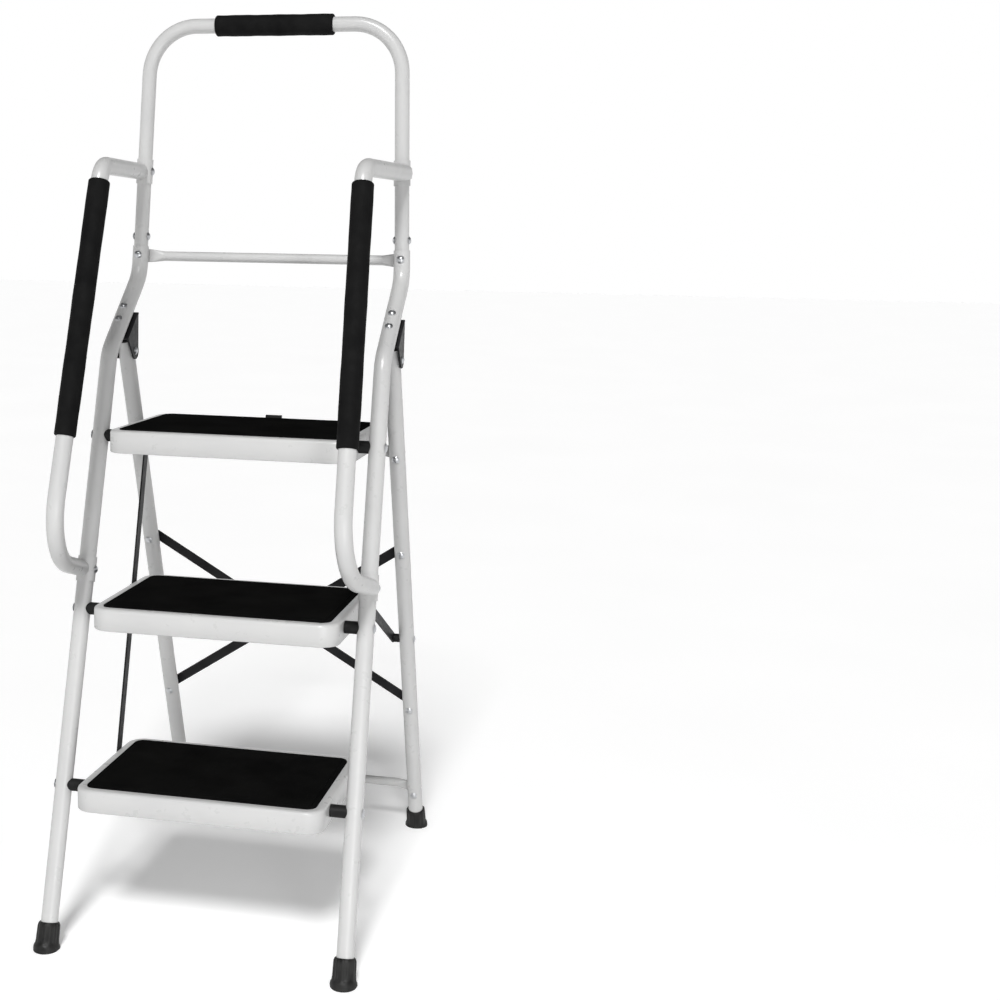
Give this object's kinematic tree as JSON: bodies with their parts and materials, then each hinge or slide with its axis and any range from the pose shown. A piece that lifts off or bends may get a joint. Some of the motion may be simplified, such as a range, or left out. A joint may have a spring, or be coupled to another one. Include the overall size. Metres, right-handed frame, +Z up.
{
  "type": "step stool",
  "caption": "Folding step stool with rubber-matted treads, a U-shaped top handle with a foam grip, and padded side handrails; it folds flat.",
  "frame": {"origin": "on the floor, in the middle of the open stool's footprint", "axes": "+X across to the stool's right as seen from the front, +Y to the back, +Z up"},
  "size_m": [0.483, 0.6751, 1.3555],
  "materials": {
    "white_paint": "gloss powder coat",
    "black_paint": "satin black coat",
    "rubber_mat": "textured matte",
    "rubber_foot": "matte",
    "foam": "closed-cell foam, matte",
    "black_plastic": "moulded satin",
    "zinc": "bright zinc plate"
  },
  "bodies": {
    "front_frame": {"front_tube_left": "white_paint", "front_tube_right": "white_paint", "handle_tube": "white_paint", "handle_grip": "foam", "front_crossbar": "white_paint", "handrail_left": "white_paint", "handrail_right": "white_paint", "rail_saddles": "white_paint", "rail_grip_left": "foam", "rail_grip_right": "foam", "hinge_bracket_left": "black_paint", "hinge_bracket_right": "black_paint", "hinge_pins": "zinc", "tread_axles": "zinc", "tread_spacers": "black_plastic", "front_foot_left": "rubber_foot", "front_foot_right": "rubber_foot", "frame_bolts": "zinc"},
    "rear_frame": {"rear_leg_left": "white_paint", "rear_leg_right": "white_paint", "rear_leg_inserts": "black_plastic", "rear_upper_crossbar": "white_paint", "rear_lower_crossbar": "white_paint", "brace_bar_front": "black_paint", "brace_bar_back": "black_paint", "rear_foot_left": "rubber_foot", "rear_foot_right": "rubber_foot", "rear_bolts": "zinc", "fold_link_pins": "zinc", "fold_link_spacers": "black_plastic"},
    "tread_low": {"tread_pan_low": "white_paint", "tread_mat_low": "rubber_mat", "tread_pins_low": "zinc"},
    "tread_mid": {"tread_pan_mid": "white_paint", "tread_mat_mid": "rubber_mat", "tread_pins_mid": "zinc"},
    "tread_top": {"tread_pan_top": "white_paint", "tread_mat_top": "rubber_mat", "tread_pins_top": "zinc", "latch_pin": "zinc"},
    "tread_link_left": {"tread_link_left": "black_paint"},
    "tread_link_right": {"tread_link_right": "black_paint"},
    "fold_link_left": {"fold_link_left": "black_paint"},
    "fold_link_right": {"fold_link_right": "black_paint"},
    "latch": {"latch": "black_plastic"}
  },
  "joints": [
    {"name": "rear_fold", "type": "hinge", "parent": "front_frame", "child": "rear_frame", "pos_m": [0, 0, 0.849], "axis": [1, 0, 0], "range_deg": [-36, 0]},
    {"name": "tread_low_fold", "type": "hinge", "parent": "front_frame", "child": "tread_low", "pos_m": [0, -0.25113, 0.23], "axis": [1, 0, 0], "range_deg": [0, 60]},
    {"name": "tread_mid_fold", "type": "hinge", "parent": "front_frame", "child": "tread_mid", "pos_m": [0, -0.17954, 0.48], "axis": [1, 0, 0], "range_deg": [0, 60]},
    {"name": "tread_top_fold", "type": "hinge", "parent": "front_frame", "child": "tread_top", "pos_m": [0, -0.10794, 0.73], "axis": [1, 0, 0], "range_deg": [0, 60]},
    {"name": "tread_link_left_turn", "type": "hinge", "parent": "tread_mid", "child": "tread_link_left", "pos_m": [0, -0.03954, 0.48], "axis": [1, 0, 0], "range_deg": [-60, 0]},
    {"name": "fold_link_left_turn", "type": "hinge", "parent": "rear_frame", "child": "fold_link_left", "pos_m": [0, 0.17632, 0.37679], "axis": [1, 0, 0], "range_deg": [-35, 0]},
    {"name": "tread_link_right_turn", "type": "hinge", "parent": "tread_mid", "child": "tread_link_right", "pos_m": [0, -0.03954, 0.48], "axis": [1, 0, 0], "range_deg": [-60, 0]},
    {"name": "fold_link_right_turn", "type": "hinge", "parent": "rear_frame", "child": "fold_link_right", "pos_m": [0, 0.17632, 0.37679], "axis": [1, 0, 0], "range_deg": [-35, 0]},
    {"name": "latch_tilt", "type": "hinge", "parent": "tread_top", "child": "latch", "pos_m": [0, 0.09856, 0.722], "axis": [1, 0, 0], "range_deg": [0, 25], "stiffness_Nm_per_rad": 0.2}
  ],
  "couplings": [
    {"joint": "tread_low_fold", "follows": "rear_fold", "ratio": -1.6666},
    {"joint": "tread_mid_fold", "follows": "rear_fold", "ratio": -1.6666},
    {"joint": "tread_top_fold", "follows": "rear_fold", "ratio": -1.6666},
    {"joint": "tread_link_left_turn", "follows": "rear_fold", "ratio": 1.6666},
    {"joint": "fold_link_left_turn", "follows": "rear_fold", "ratio": 0.95928},
    {"joint": "tread_link_right_turn", "follows": "rear_fold", "ratio": 1.6666},
    {"joint": "fold_link_right_turn", "follows": "rear_fold", "ratio": 0.95928}
  ]
}
